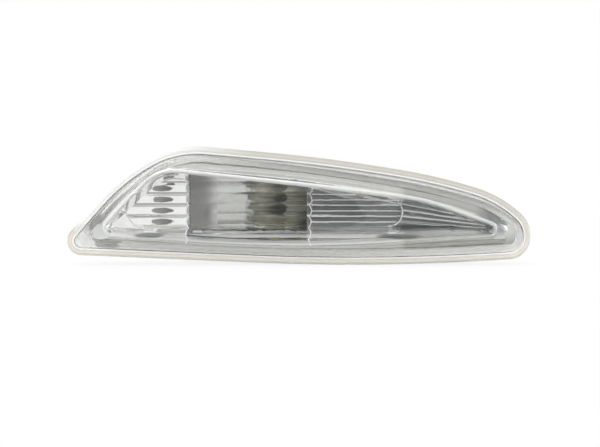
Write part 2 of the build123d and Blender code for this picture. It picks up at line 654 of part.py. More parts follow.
# Bulb holder: neck with bayonet lugs, flange, and a shroud for the wiring plug
with BuildPart() as bulb_holder:
    with BuildSketch(BULB_AXIS.offset(NECK_FACE)):
        Circle(NECK_RADIUS)
    extrude(amount=HOLDER_FACE - NECK_FACE)
    with BuildSketch(BULB_AXIS.offset(COLLAR_X - LUG_CLEARANCE - LUG_LENGTH)):
        add(lug_face(LUG_RADIUS, LUG_WIDTH, 0))
    extrude(amount=LUG_LENGTH)
    with BuildSketch(BULB_AXIS.offset(HOLDER_FACE)):
        Circle(FLANGE_RADIUS)
    extrude(amount=HOLDER_FLANGE)
    with BuildSketch(BULB_AXIS.offset(SHROUD_START)):
        RectangleRounded(SHROUD_HEIGHT, SHROUD_WIDTH, SHROUD_ROUND)
    extrude(amount=SHROUD_LENGTH)
    with BuildSketch(BULB_AXIS.offset(SHROUD_START)):
        for side in (-1, 1):
            with GridLocations(SHROUD_HEIGHT / GRIP_COUNT, 0, GRIP_COUNT, 1):
                with Locations((0, side * SHROUD_WIDTH / 2)):
                    Circle(GRIP_RADIUS)
    extrude(amount=GRIP_LENGTH)
    with BuildSketch(BULB_SECTION.offset(-LATCH_WIDTH / 2)):
        latch_y = SHROUD_HEIGHT / 2
        Polygon(
            (SHROUD_END - LATCH_SETBACK, latch_y),
            (SHROUD_END - LATCH_SETBACK - LATCH_LENGTH, latch_y),
            (SHROUD_END - LATCH_SETBACK - LATCH_LENGTH, latch_y + LATCH_HEIGHT),
            align=None,
        )
    extrude(amount=LATCH_WIDTH)
    with BuildSketch(BULB_AXIS.offset(NECK_FACE)):
        Rectangle(2 * CONTACT_OFFSET + BLADE_THICKNESS + 2 * SOCKET_FIT, PINCH_WIDTH + 2 * SOCKET_FIT)
    extrude(amount=SOCKET_END - NECK_FACE, mode=Mode.SUBTRACT)
    with BuildSketch(BULB_AXIS.offset(PLUG_FLOOR)):
        RectangleRounded(SHROUD_HEIGHT - 2 * SHROUD_WALL, SHROUD_WIDTH - 2 * SHROUD_WALL, SHROUD_ROUND - SHROUD_WALL)
    extrude(amount=PLUG_DEPTH, mode=Mode.SUBTRACT)
    add(live_slot.part, mode=Mode.SUBTRACT)
    add(earth_slot.part, mode=Mode.SUBTRACT)

# Gasket: a flat ring between the holder's flange and the collar
with BuildPart() as holder_gasket:
    with BuildSketch(BULB_AXIS.offset(HOLDER_FACE - GASKET_THICKNESS)):
        Circle(FLANGE_RADIUS - SOCKET_FIT)
        Circle(NECK_RADIUS, mode=Mode.SUBTRACT)
    extrude(amount=GASKET_THICKNESS)

pieces = {
    "lens": lens,
    "seal": seal,
    "reflector": reflector,
    "housing": housing,
    "retaining_spring": retaining_spring,
    "bulb_holder": bulb_holder,
    "holder_gasket": holder_gasket,
    "contact_live": contact_live,
    "contact_earth": contact_earth,
    "bulb_glass": bulb_glass,
    "filament": filament,
    "lead_wire_live": lead_wire_live,
    "lead_wire_earth": lead_wire_earth,
}
os.makedirs("parts", exist_ok=True)
for label, piece in pieces.items():
    piece.part.label = label
    export_step(piece.part, f"parts/{label}.step")
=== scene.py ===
"""Dresses the side repeater lamp: a finish for every piece, a plain white studio and the camera."""

from math import cos, pi, radians, sin, tan

import bpy
from bpy.props import FloatProperty, FloatVectorProperty, PointerProperty
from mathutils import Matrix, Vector


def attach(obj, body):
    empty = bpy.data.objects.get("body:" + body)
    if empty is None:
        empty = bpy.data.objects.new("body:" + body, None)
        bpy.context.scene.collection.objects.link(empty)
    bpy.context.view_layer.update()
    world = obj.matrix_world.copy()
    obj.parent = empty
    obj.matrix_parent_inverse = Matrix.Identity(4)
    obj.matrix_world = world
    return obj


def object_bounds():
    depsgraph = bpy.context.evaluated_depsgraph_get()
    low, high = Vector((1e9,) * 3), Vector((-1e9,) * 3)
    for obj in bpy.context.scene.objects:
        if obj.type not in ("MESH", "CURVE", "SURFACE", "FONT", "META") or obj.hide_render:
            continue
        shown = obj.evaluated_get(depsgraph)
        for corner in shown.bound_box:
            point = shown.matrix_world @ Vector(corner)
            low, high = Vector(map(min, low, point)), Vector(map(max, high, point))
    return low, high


bl_info = {
    "name": "Side Repeater Lamp",
    "version": (1, 0, 0),
    "blender": (4, 5, 0),
    "location": "View3D > Sidebar > Repeater Lamp",
    "description": "Finishes for a car side repeater lamp, and a white studio to show it in",
    "category": "Object",
}

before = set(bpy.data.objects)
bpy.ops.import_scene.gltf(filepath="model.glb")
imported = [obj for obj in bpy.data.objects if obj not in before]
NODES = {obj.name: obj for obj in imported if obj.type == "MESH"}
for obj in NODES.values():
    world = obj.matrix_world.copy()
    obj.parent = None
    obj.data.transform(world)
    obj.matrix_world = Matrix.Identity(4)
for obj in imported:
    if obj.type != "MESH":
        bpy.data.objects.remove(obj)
CAD_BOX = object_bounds()

# Millimetres in a metre
PER_METRE = 1000.0
WHITE = (1.0, 1.0, 1.0, 1.0)
BLACK = (0.0, 0.0, 0.0, 1.0)
# Sockets of a Mix node that mixes colours
MIX_FACTOR, MIX_LOW, MIX_HIGH, MIX_COLOUR = 0, 6, 7, 2

# The picture's frame in pixels, the lamp's origin and length in it, and the camera's sensor in millimetres
PICTURE_WIDTH = 600
PICTURE_HEIGHT = 447
ORIGIN_PIXEL = (298.5, 206.0)
LAMP_PIXELS = 462.0
SENSOR_WIDTH = 36.0

# Ribs of the reflector and the waved edges at both sides of its scoop, in metres in the front view
RIB_TOP = 0.0094
RIB_PITCH = 0.0031
SCOOP_EDGE_X = -0.03085
SCOOP_EDGE_TOP = 0.0085
MOUTH_EDGE_X = 0.00265
MOUTH_SLANT = 0.03
MOUTH_EDGE_TOP = 0.0053
EDGE_BOTTOM = -0.0108
EDGE_WAVE = 0.0007
EDGE_STEP = 0.0001
EDGE_RADIUS = 0.00018
# Half rings round the trough's two ends: x, z and radius
BROAD_END = (-0.0434, -0.00084, 0.00505)
NARROW_END = (0.0251, -0.0017, 0.00405)
RING_STEPS = 48
# Painted highlight lines along the ribs of the right bank, counted in half ribs from the top, and along those
# of the fan, whose start and end are each an x, the lowest line's z and the pitch
BANK_LINES = range(4, 10)
FAN_LINES = range(0, 6)
FAN_START = (0.018, -0.006, 0.00215)
FAN_END = (0.056, -0.0068, 0.0006)
FAN_TIP_X = 0.0525
LINE_RADIUS = 0.00019
LINE_STEP = 0.00025
LINE_JUMP = 0.00035
RIM_FRONT = -0.0028
# In front of all pieces, where the rays that find the reflector start
RAY_START = -0.02
# The seal's bead, and how closely the points of the seal's flat face share one plane
BEAD_RADIUS = 0.00028
FLAT_WITHIN = 0.00001
TUBE_SIDES = 6

# Places in the finishes, in millimetres: X runs along the lamp, Y into it and Z up. A pair says where a
# change starts and where it is complete. Four numbers say where a patch starts, is full, fades and stops. An
# oval is its centre's x and z, half its width and half its height, and its edge is counted in such halves.
# The lamp's upper slope towards the broad end, where the seal is painted near-white as painted light and the
# flange is plated
UPPER_SLOPE_X = (-14.0, -42.0)
UPPER_SLOPE_Z = (-7.0, -4.0)
# The seal's front, the lower stretch of its face, and how far its crown faces up
SEAL_FRONT_Y = (-0.6, -1.8)
SEAL_FOOT_Z = (-2.0, -14.0)
SEAL_CROWN_FACING = (0.1, 0.6)
# The housing's flange, and the painted shadow of the lens's wall where it bends round its broad end
FLANGE_Y = (0.5, -1.0)
BEND_OVAL = (-53.2, -5.5, 5.2, 6.5)
BEND_EDGE = (1.03, 0.95)
BEND_Z = (-1.0, -2.5)
# The reflector's scoop: its depth, where it is painted darker as painted shade, its broad end, its part
# beside the bulb with a painted amber reflection, the painted dark reflection there (a patch with a waved
# edge near the bulb, and a veil at the mouth), and the valleys by the bulb, which get a painted dark
# reflection
SCOOP_Y = (4.0, 12.0)
SCOOP_END_X = (-19.0, -27.0)
BULB_X = (-14.5, -12.0)
DARK_PATCH_LEFT_X = (-10.5, -6.0)
DARK_PATCH_RIGHT_X = (-4.2, -4.8)
DARK_PATCH_WAVE = 1.2
DARK_PATCH_FOOT_Z = (-4.2, -2.8)
VEIL_X = (-2.0, 1.5)
VALLEYS_X = (-15.6, -14.8, -13.0, -11.0)
# The painted dark line beside the scoop's waved left edge, a painted reflection
TEETH_LEFT_X = (-30.95, -30.75)
TEETH_RIGHT_X = (-30.55, -30.65)
TEETH_WAVE = 0.7
TEETH_Y = (-2.6, -1.8)
# The pocket's floor from the scoop's mouth to the narrow end, and the tip past the trough's narrow end, where
# the plating gets a painted grey reflection
POCKET_X = (2.0, 3.0)
POCKET_Y = (-2.2, -0.8)
POCKET_FOOT_Z = (-3.8, -4.8)
TIP_X = (27.0, 30.0)
# The nose and the apron round it at the rim's narrow end, and the tail at its broad end: painted grey
# reflections, and the apron is also satin
NOSE_OVAL = (51.0, -6.2, 6.8, 7.6)
NOSE_EDGE = (1.05, 0.9)
NOSE_X = (49.0, 53.0)
NOSE_Z = (-8.4, -6.8)
APRON_EDGE = (1.0, 1.12)
APRON_X = (53.0, 56.0)
TAIL_X = (-52.0, -53.5)
TAIL_Z = (-3.0, -4.5)
# The slope under the scoop, with two painted dark lines (painted reflections), each a height and a half
# width, and a grey strip of painted shade
SLOPE_Y = (-3.6, -2.6)
SLOPE_Z = (-6.4, -6.8)
UPPER_DARK_LINE = (-7.6, 0.3)
LOWER_DARK_LINE = (-9.05, 0.45)
DARK_LINES_LEFT_X = (-31.0, -30.0, -27.0, -23.0)
DARK_LINES_RIGHT_X = (-15.0, -10.0, 2.0, 3.0)
GREY_STRIP_X = (-31.0, -30.0, 2.0, 3.0)
GREY_STRIP_Z = (-9.0, -8.7)
# Painted dark reflections, wedge-shaped, on the slopes at both ends of the pocket
LEFT_WEDGE = (-41.7, -7.9, 4.4, 0.7)
RIGHT_WEDGE = (28.0, -8.3, 6.5, 0.65)
WEDGE_EDGE = (1.1, 0.7)
# The pocket's satin lower wall, which faces up and is painted darker as painted shade, and the lip round the
# pocket
SATIN_FACING = (0.8, 0.95)
SATIN_Y = (-1.6, -2.2)
LIP_X = (8.0, 20.0)
LIP_Y = (-4.4, -4.8)
LIP_Z = (-8.0, -5.0)
# How much the lines of rolled strip and of drawn wire are drawn out along the lamp
ROLLED_LINES = 0.03
DRAWN_LINES = 0.1

# The clear lens: its refraction, and how often light may turn inside it before it leaves it
LENS_IOR = 1.49
LENS_BOUNCES = 32

# The studio's floor, in metres, with the stretch in millimetres over which it fades to white
FLOOR_REACH = 3.0
FLOOR_GAP = 0.0002
FLOOR_FADE = (70.0, 300.0)
# The cards: the x that their bearings are taken from, their folds as a share of their distance, and the
# levels of the noise between which a fold turns pale
LEFT_BANK_X = -0.039
CARD_FOLD = 0.1
CARD_CREST = (0.5, 0.66)
CARD_STEPS = 48
# The canopies: their far edge, their right end in metres, their folds in millimetres, and the levels of the
# noise between which a fold turns pale
CANOPY_END = radians(105.0)
CANOPY_RIGHT = 1.5
CANOPY_STEPS = 16
CANOPY_FOLD = 180.0
CANOPY_CREST = (0.3, 0.7)
CANOPY_SHADE_Y = (-750.0, -250.0)
# The soft lamps: place and size in metres, and how many times stronger the key is than the side lamp
KEY_PLACE = (-0.25, -0.5, 0.9)
KEY_SIZE = (0.8, 0.6)
SIDE_PLACE = (0.8, -0.4, 0.4)
SIDE_SIZE = (0.5, 0.5)
KEY_TO_SIDE = 3.0


def colour(name, description, default):
    """A colour property."""
    return FloatVectorProperty(
        name=name, description=description, default=default, size=3, min=0.0, max=1.0, subtype="COLOR"
    )


def length(name, description, default):
    """A length property, in metres."""
    return FloatProperty(name=name, description=description, default=default, min=0.0, unit="LENGTH")


def angle(name, description, degrees):
    """An angle property, with its default in degrees."""
    return FloatProperty(name=name, description=description, default=radians(degrees), subtype="ANGLE")


class LampFinishes(bpy.types.PropertyGroup):
    """Colours of the lamp's pieces and the size of their surface detail."""

    lens_tint: colour("Lens tint", "Colour of the clear moulding", (0.985, 0.99, 0.985))
    seal_edge: colour("Seal edge", "Colour of the soft seal's rounded edge", (0.68, 0.67, 0.61))
    seal_rim: colour("Seal rim", "Colour of the soft seal's upright side", (0.72, 0.71, 0.645))
    # The seal's face is darker along the top and its upper edge darker still: painted shade. It is paler
    # along the bottom and near-white along the upper slope: painted light.
    seal_face: colour("Seal face", "Colour of the soft seal's flat face along the top", (0.66, 0.65, 0.59))
    seal_foot: colour("Seal foot", "Colour of the soft seal's flat face along the bottom", (0.8, 0.765, 0.69))
    seal_crown: colour("Seal crown", "Colour of the soft seal's upper edge", (0.5, 0.49, 0.43))
    seal_painted_light: colour("Seal, bleached", "Colour of the seal along its upper slope", (0.9, 0.9, 0.895))
    # The seal's bead is painted near-white: a painted highlight on a real lip
    seal_bead: colour("Seal bead", "Colour of the seal's fine inner bead", (0.95, 0.95, 0.935))
    plating_colour: colour("Plating", "Colour of the bright plating", (0.9, 0.9, 0.895))
    # Painted shade down in the scoop, and painted grey on the satin apron at the narrow end
    plating_deep: colour("Plating, deep", "Colour of the plating down in the scoop", (0.55, 0.555, 0.535))
    # The amber beside the bulb is a painted reflection of the bulb
    plating_amber_reflection: colour("Plating, warm", "Colour of the plating beside the amber bulb", (0.91, 0.91, 0.76))
    # Painted grey reflection, and painted shade on the satin lower wall and the strip under the scoop
    plating_grey_reflection: colour("Plating, cool", "Colour of the plating in its cooler places", (0.31, 0.32, 0.33))
    # Painted dark reflection in the scoop
    plating_dark_reflection: colour("Plating, smoky", "Colour of the plating darkened by heat", (0.16, 0.16, 0.125))
    # Painted dark reflections in the wedges
    plating_wedge_reflection: colour("Plating, dim", "Colour of the wedges at the pocket's ends", (0.2, 0.205, 0.21))
    # Colour of the wires that stand in for the plating's edge highlights: painted highlights
    highlight_colour: colour("Plated edge", "Colour of the sharp edges of the plating", (0.98, 0.98, 0.98))
    housing_colour: colour("Housing", "Colour of the rear housing", (0.6, 0.6, 0.575))
    flange_colour: colour("Flange", "Colour of the housing's flange behind the lens", (0.96, 0.96, 0.94))
    # Painted shadow of the lens's wall on the flange
    flange_painted_shadow: colour("Flange, shaded", "Colour of the flange at the lens's bend", (0.5, 0.5, 0.48))
    holder_colour: colour("Bulb holder", "Colour of the bulb holder", (0.035, 0.035, 0.038))
    rubber_colour: colour("Gasket", "Colour of the holder's gasket", (0.05, 0.05, 0.052))
    steel_colour: colour("Steel", "Colour of the spring strip", (0.56, 0.56, 0.55))
    brass_colour: colour("Brass", "Colour of the terminals", (0.76, 0.57, 0.27))
    brass_dull: colour("Brass, dull", "Tarnish on the terminals", (0.42, 0.29, 0.13))
    bulb_tint: colour("Bulb", "Colour of the bulb's silvered amber glass", (0.74, 0.7, 0.62))
    wire_colour: colour("Wire", "Colour of the filament and its leads", (0.4, 0.39, 0.37))
    grain_size: length("Grain", "Size of the grain on moulded plastic", 0.00022)


class LampStudio(bpy.types.PropertyGroup):
    """Places and colours of the camera, the floor, the lights and the cards that the plating mirrors."""

    camera_distance: length("Camera distance", "From the camera to the wing's plane", 0.62)
    camera_elevation: angle("Camera height", "Angle above the horizon", 3.0)
    floor_colour: colour("Floor", "Colour of the floor", (0.92, 0.92, 0.92))
    floor_glow: FloatProperty(
        name="Floor white",
        description="Share of plain white in the floor as seen near the lamp",
        default=0.85,
        min=0.0,
        max=1.0,
        subtype="FACTOR",
    )
    fill: FloatProperty(
        name="Fill", description="Strength of the light from all round", default=0.85, min=0.0
    )
    key_power: FloatProperty(
        name="Key", description="Power of the large soft lamp", default=4.0, min=0.0, unit="POWER"
    )
    far_card: length("Far card", "Distance of the far dark card that the plating mirrors", 1.0)
    near_card: length("Near card", "Distance of the near dark card that the plating mirrors", 0.3)
    card_left: angle("Card, left edge", "Bearing of both cards' left edges from the left bank", -4.0)
    card_right: angle("Card, right edge", "Bearing of both cards' right edges from the left bank", 8.0)
    card_height: angle("Card height", "Half angle of the dark cards, upwards", 26.0)
    card_dark: colour("Card, dark side", "Colour of the dark cards at their left edges", (0.06, 0.06, 0.061))
    card_pale: colour("Card, pale side", "Colour of the dark cards' palest folds", (0.42, 0.42, 0.425))
    canopy_radius: length("Canopy", "Radius of the grey canopies above and below", 0.9)
    canopy_start: angle("Canopy edge", "Angle of the canopies' front edges from level", 31.0)
    canopy_left: length("Canopy, left", "Reach of the canopies past the lamp's middle, to the left", 0.22)
    canopy_low: colour("Canopy, dark folds", "Colour of the darker folds of the canopies", (0.34, 0.34, 0.33))
    canopy_high: colour("Canopy, pale folds", "Colour of the paler folds of the canopies", (0.82, 0.82, 0.8))


class Wire:
    """An output socket of a shader node; arithmetic on it adds Math nodes."""

    def __init__(self, socket):
        self.socket = socket

    @classmethod
    def node(cls, tree, kind, settings=None, sockets=None):
        """Adds a node: its settings first, then the values or links of its sockets."""
        made = tree.nodes.new(kind)
        for name, value in (settings or {}).items():
            setattr(made, name, value)
        for name, value in (sockets or {}).items():
            if isinstance(value, Wire):
                tree.links.new(value.socket, made.inputs[name])
            else:
                made.inputs[name].default_value = value
        return cls(made.outputs[0]) if made.outputs else None

    @property
    def tree(self):
        """The node tree that the socket is in."""
        return self.socket.node.id_data

    def output(self, name):
        """Another output of the same node."""
        return Wire(self.socket.node.outputs[name])

    def math(self, operation, first, second):
        """A Math node on two values."""
        return Wire.node(self.tree, "ShaderNodeMath", {"operation": operation}, {0: first, 1: second})

    def __add__(self, other):
        return self.math("ADD", self, other)

    def __radd__(self, other):
        return self.math("ADD", other, self)

    def __sub__(self, other):
        return self.math("SUBTRACT", self, other)

    def __rsub__(self, other):
        return self.math("SUBTRACT", other, self)

    def __mul__(self, other):
        return self.math("MULTIPLY", self, other)

    def __rmul__(self, other):
        return self.math("MULTIPLY", other, self)

    def __truediv__(self, other):
        return self.math("DIVIDE", self, other)

    def __rtruediv__(self, other):
        return self.math("DIVIDE", other, self)

    def __gt__(self, other):
        return self.math("GREATER_THAN", self, other)

    def __lt__(self, other):
        return self.math("LESS_THAN", self, other)


def rgba(shade):
    """A colour with its alpha."""
    return (*shade, 1.0)


def darker(shade, share=0.9):
    """A colour darkened to a share of itself."""
    return tuple(channel * share for channel in shade)


def new_finish(name):
    """An empty material and its node tree."""
    material = bpy.data.materials.new(name)
    material.use_nodes = True
    material.node_tree.nodes.clear()
    return material, material.node_tree


def millimetres(tree, along=1.0):
    """The surface point in millimetres, in the lamp's own frame, or drawn out along the lamp."""
    point = Wire.node(tree, "ShaderNodeTexCoord").output("Object")
    scale = (PER_METRE * along, PER_METRE, PER_METRE)
    return Wire.node(tree, "ShaderNodeVectorMath", {"operation": "MULTIPLY"}, {0: point, 1: scale})


def clouds(point, size, detail=3.0, roughness=0.5):
    """Soft noise with features of the given size in millimetres."""
    sockets = {"Vector": point, "Scale": 1.0 / size, "Detail": detail, "Roughness": roughness}
    return Wire.node(point.tree, "ShaderNodeTexNoise", {}, sockets)


def axes(vector):
    """The three parts of a vector."""
    parts = Wire.node(vector.tree, "ShaderNodeSeparateXYZ", {}, {0: vector})
    return parts, parts.output("Y"), parts.output("Z")


def facing(tree):
    """The three parts of the surface's direction, in the lamp's own frame."""
    return axes(Wire.node(tree, "ShaderNodeTexCoord").output("Normal"))


def size_of(vector):
    """How long a vector is."""
    measured = Wire.node(vector.tree, "ShaderNodeVectorMath", {"operation": "LENGTH"}, {0: vector})
    return measured.output("Value")


def ramp(value, start, end, low=0.0):
    """A value that climbs from low at its start to 1 at its end."""
    sockets = {"Value": value, "From Min": start, "From Max": end, "To Min": low}
    return Wire.node(value.tree, "ShaderNodeMapRange", {}, sockets)


def patch(value, start, full, fade, stop):
    """1 from full to fade, 0 before the start and past the stop."""
    return ramp(value, start, full) * ramp(value, stop, fade)


def band(value, middle, half):
    """1 along a line across a value, 0 past its edges."""
    away = Wire.node(value.tree, "ShaderNodeMath", {"operation": "ABSOLUTE"}, {0: value - middle})
    return ramp(away, half, half / 2)


def oval(point, x, z, half_width, half_height):
    """Distance from an oval's centre in the front view, 1 on its line."""
    tree = point.tree
    halves = (1.0 / half_width, 0.0, 1.0 / half_height)
    offset = Wire.node(tree, "ShaderNodeVectorMath", {"operation": "SUBTRACT"}, {0: point, 1: (x, 0.0, z)})
    scaled = Wire.node(tree, "ShaderNodeVectorMath", {"operation": "MULTIPLY"}, {0: offset, 1: halves})
    return size_of(scaled)


def blend(factor, low, high):
    """A colour between two colours, each a plain colour or another blend."""
    low, high = (shade if isinstance(shade, Wire) else rgba(shade) for shade in (low, high))
    sockets = {MIX_FACTOR: factor, MIX_LOW: low, MIX_HIGH: high}
    return Wire.node(factor.tree, "ShaderNodeMix", {"data_type": "RGBA"}, sockets).output(MIX_COLOUR)


def relief(height, depth):
    """A bump with the given depth in millimetres."""
    sockets = {"Height": height, "Distance": depth / PER_METRE, "Strength": 1.0}
    return Wire.node(height.tree, "ShaderNodeBump", {}, sockets)


def surface(tree, sockets):
    """The Principled shader on the material's output."""
    shader = Wire.node(tree, "ShaderNodeBsdfPrincipled", {}, sockets)
    Wire.node(tree, "ShaderNodeOutputMaterial", {}, {"Surface": shader})


def arch(share):
    """0 at both edges of a rib and 1 along its middle, for a share of the way across it."""
    return share * (1.0 - share) * 4.0


def rib_crown(z):
    """0 in the valleys between the reflector's ribs and 1 along their crowns."""
    ribs_down = (RIB_TOP * PER_METRE - z) / (RIB_PITCH * PER_METRE)
    return arch(Wire.node(z.tree, "ShaderNodeMath", {"operation": "FRACT"}, {0: ribs_down}))


def upper_slope(x, z):
    """1 along the lamp's upper slope towards the broad end, 0 elsewhere."""
    return ramp(x, *UPPER_SLOPE_X) * ramp(z, *UPPER_SLOPE_Z)


def clear_moulding(tint):
    """Polished clear plastic with a trace of flow and haze."""
    material, tree = new_finish("clear_moulding")
    flow = clouds(millimetres(tree, along=0.25), size=9.0, detail=1.0)
    haze = clouds(millimetres(tree), size=2.5)
    surface(
        tree,
        {
            "Base Color": rgba(tint),
            "Transmission Weight": 1.0,
            "IOR": LENS_IOR,
            "Roughness": haze * 0.02,
            "Normal": relief(flow, depth=0.02),
        },
    )
    return material


def soft_skin(point, cloud, shade):
    """The smooth skin of soft rubber that lets light in."""
    skin = clouds(point, size=0.25)
    surface(
        point.tree,
        {
            "Base Color": shade,
            "Roughness": 0.3 + cloud * 0.2,
            "Subsurface Weight": 0.2,
            "Subsurface Radius": (1.0, 0.95, 0.85),
            "Subsurface Scale": 0.001,
            "Normal": relief(skin, depth=0.01),
        },
    )


def pale_bead(shade):
    """The fine pale bead along the soft seal's inner edge: a real lip, painted near-white as a painted
    highlight.
    """
    material, tree = new_finish("pale_bead")
    point = millimetres(tree)
    cloud = clouds(point, size=4.0)
    soft_skin(point, cloud, blend(cloud, darker(shade, 0.98), shade))
    return material


def milky_rubber(shades):
    """Soft pale rubber, tinted at its rounded edge, with painted shade along the top and its upper edge,
    and painted light along the bottom and the upper slope.
    """
    material, tree = new_finish("milky_rubber")
    point = millimetres(tree)
    cloud = clouds(point, size=4.0)
    x, y, z = axes(point)
    _, forward, upward = facing(tree)
    # 0 on the flat front face and 1 on the upright side
    turn = 1.0 + forward
    # Darker along the top and paler along the bottom: painted shade and painted light
    flat = blend(ramp(z, *SEAL_FOOT_Z), shades.seal_face, shades.seal_foot)
    side = blend(turn * 1.2, shades.seal_edge, shades.seal_rim)
    # The upper edge is painted darker: painted shade
    crowned = blend(ramp(upward, *SEAL_CROWN_FACING), side, shades.seal_crown)
    tinted = blend(turn * 14.0 + cloud * 0.4 - 0.3, flat, crowned)
    # Near-white along the upper slope: painted light
    painted_light = upper_slope(x, z) * ramp(y, *SEAL_FRONT_Y)
    soft_skin(point, cloud, blend(painted_light, tinted, shades.seal_painted_light))
    return material


def scoop_dark_reflection(x, z, crown):
    """Where the scoop gets a painted dark reflection: a patch with a waved edge near the bulb, and a veil at
    the mouth.
    """
    dark_patch = ramp(x, *DARK_PATCH_LEFT_X) * ramp(x - crown * DARK_PATCH_WAVE, *DARK_PATCH_RIGHT_X)
    return dark_patch * (0.3 + ramp(z, *DARK_PATCH_FOOT_Z) * 0.7) + ramp(x, *VEIL_X) * 0.6


def pocket_floor(x, y, z, tip):
    """The floor of the pocket from the scoop's mouth to the narrow end, most of all at the tip, where it gets
    a painted grey reflection.
    """
    floor = ramp(y, *POCKET_Y) * ramp(x, *POCKET_X) * (0.62 + tip * 0.38)
    return floor * (1.0 - ramp(z, *POCKET_FOOT_Z) * (1.0 - tip) * 0.4)


def scoop_slope(x, y, z):
    """Two painted dark lines and a grey strip on the slope under the scoop: painted reflections and painted
    shade.
    """
    dark_lines = band(z, *UPPER_DARK_LINE) + band(z, *LOWER_DARK_LINE) * 0.5
    ends = patch(x, *DARK_LINES_LEFT_X) + patch(x, *DARK_LINES_RIGHT_X)
    strip = patch(x, *GREY_STRIP_X) * ramp(z, *GREY_STRIP_Z)
    return (dark_lines * ends + strip * 0.3) * ramp(z, *SLOPE_Z) * ramp(y, *SLOPE_Y)


def pocket_lip(x, y, z):
    """The lip round the pocket, fainter along its foot and towards the narrow end."""
    return ramp(y, *LIP_Y) * (0.3 + ramp(z, *LIP_Z) * 0.7) * (1.0 - ramp(x, *LIP_X) * 0.25)


def bright_plating(shades):
    """Vapour plating over moulded plastic, with painted shade and painted reflections in its colour.

    It is painted darker down in the scoop as painted shade, with a painted amber reflection and a painted
    dark reflection beside the bulb. Painted grey reflections lie on the pocket's floor, round the rim's two
    ends, beside the scoop's left edge, in the valleys by the bulb and as two lines on the slope under the
    scoop, and darker ones in the wedges; a grey strip of painted shade runs under the scoop. It is satin on
    the pocket's lower wall, which is painted darker as painted shade, and on its lip.
    """
    material, tree = new_finish("bright_plating")
    point = millimetres(tree)
    x, y, z = axes(point)
    wave = clouds(point, size=3.0, detail=2.0)
    bloom = clouds(point, size=6.0)
    streaks = clouds(millimetres(tree, along=0.12), size=1.0, detail=2.0)
    crown = rib_crown(z)
    # Darker down in the scoop: painted shade
    scoop_painted_shade = ramp(y, *SCOOP_Y)
    scoop_end = ramp(x, *SCOOP_END_X)
    dull_end = scoop_painted_shade * scoop_end
    # Amber beside the bulb: a painted reflection of the bulb
    bulb_reflection = ramp(x, *BULB_X)
    # Grey past the trough's narrow end: painted reflection
    tip = ramp(x, *TIP_X)
    # Grey at the nose and the tail: painted reflections; the apron is satin and painted grey
    round_nose = oval(point, *NOSE_OVAL)
    nose = ramp(round_nose, *NOSE_EDGE) * ramp(x, *NOSE_X) * ramp(z, *NOSE_Z)
    apron = ramp(round_nose, *APRON_EDGE) * ramp(x, *APRON_X)
    tail = ramp(x, *TAIL_X) * ramp(z, *TAIL_Z)
    # Painted dark line beside the scoop's left edge: painted reflection
    teeth = ramp(x + crown * TEETH_WAVE, *TEETH_LEFT_X) * ramp(x, *TEETH_RIGHT_X) * ramp(y, *TEETH_Y)
    # Darker in the valleys by the bulb: painted reflection
    valleys = patch(x, *VALLEYS_X) * (1.0 - crown) * scoop_painted_shade
    # The satin lower wall is also painted darker: painted shade
    satin = ramp(facing(tree)[2], *SATIN_FACING) * ramp(y, *SATIN_Y)
    # Painted dark reflections in the wedges
    wedges = ramp(oval(point, *LEFT_WEDGE), *WEDGE_EDGE) + ramp(oval(point, *RIGHT_WEDGE), *WEDGE_EDGE)
    lip = pocket_lip(x, y, z)

    # Painted dark reflection in the scoop, streaked beside the bulb
    dark_reflection = scoop_dark_reflection(x, z, crown) * 0.95 + bulb_reflection * (streaks - 0.5) * 1.6
    lining = blend(bulb_reflection - tip, shades.plating_deep, shades.plating_amber_reflection)
    coat = blend(scoop_painted_shade * dark_reflection, lining, shades.plating_dark_reflection)
    plated = blend(scoop_painted_shade * (1.0 - scoop_end) * 0.96 + tip * 0.7 + bloom * 0.04, shades.plating_colour, coat)
    # Painted into the colour: grey reflections at the rim's ends, on the floor, slope, teeth and valleys, and
    # painted shade on the satin wall
    rim_ends = nose * 0.9 + tail * 0.4
    shaded = teeth * 0.9 + valleys * 0.95 + satin * 0.4
    cool = pocket_floor(x, y, z, tip) + scoop_slope(x, y, z) + rim_ends + shaded
    dimmed = blend(wedges, blend(cool, plated, shades.plating_grey_reflection), shades.plating_wedge_reflection)
    lipped = blend(lip, dimmed, shades.plating_colour)
    surface(
        tree,
        {
            "Base Color": blend(apron * 0.8, lipped, shades.plating_deep),
            "Metallic": 1.0 - satin * 0.6 - lip * 0.7 - dull_end * 0.45 - apron * 0.8,
            "Roughness": 0.03 + bloom * 0.05 + dull_end * 0.4 + satin * 0.45 + lip * 0.3 + apron * 0.4,
            "Normal": relief(wave, depth=0.02),
        },
    )
    return material


def highlight_wire(shade):
    """Near-white wires, with soft patches, standing in for the plating's edge highlights: painted highlights.
    """
    material, tree = new_finish("painted_highlight")
    wear = clouds(millimetres(tree), size=0.6)
    surface(
        tree,
        {
            "Base Color": blend(wear, darker(shade), shade),
            "Metallic": 0.1,
            "Roughness": 0.2 + wear * 0.2,
        },
    )
    return material


def mould_grain(point, grain_size):
    """The grain that a spark-eroded mould leaves."""
    return clouds(point, size=grain_size * PER_METRE, detail=2.0, roughness=0.6)


def mottled(point, shade):
    """A colour with soft darker patches."""
    return blend(clouds(point, size=7.0), darker(shade), shade)


def moulded_plastic(name, shade, grain_size, gloss):
    """Moulded plastic or rubber with a fine grain."""
    material, tree = new_finish(name)
    point = millimetres(tree)
    grain = mould_grain(point, grain_size)
    surface(
        tree,
        {
            "Base Color": mottled(point, shade),
            "Roughness": 0.65 - gloss + grain * 0.2,
            "Normal": relief(grain, depth=0.03),
        },
    )
    return material


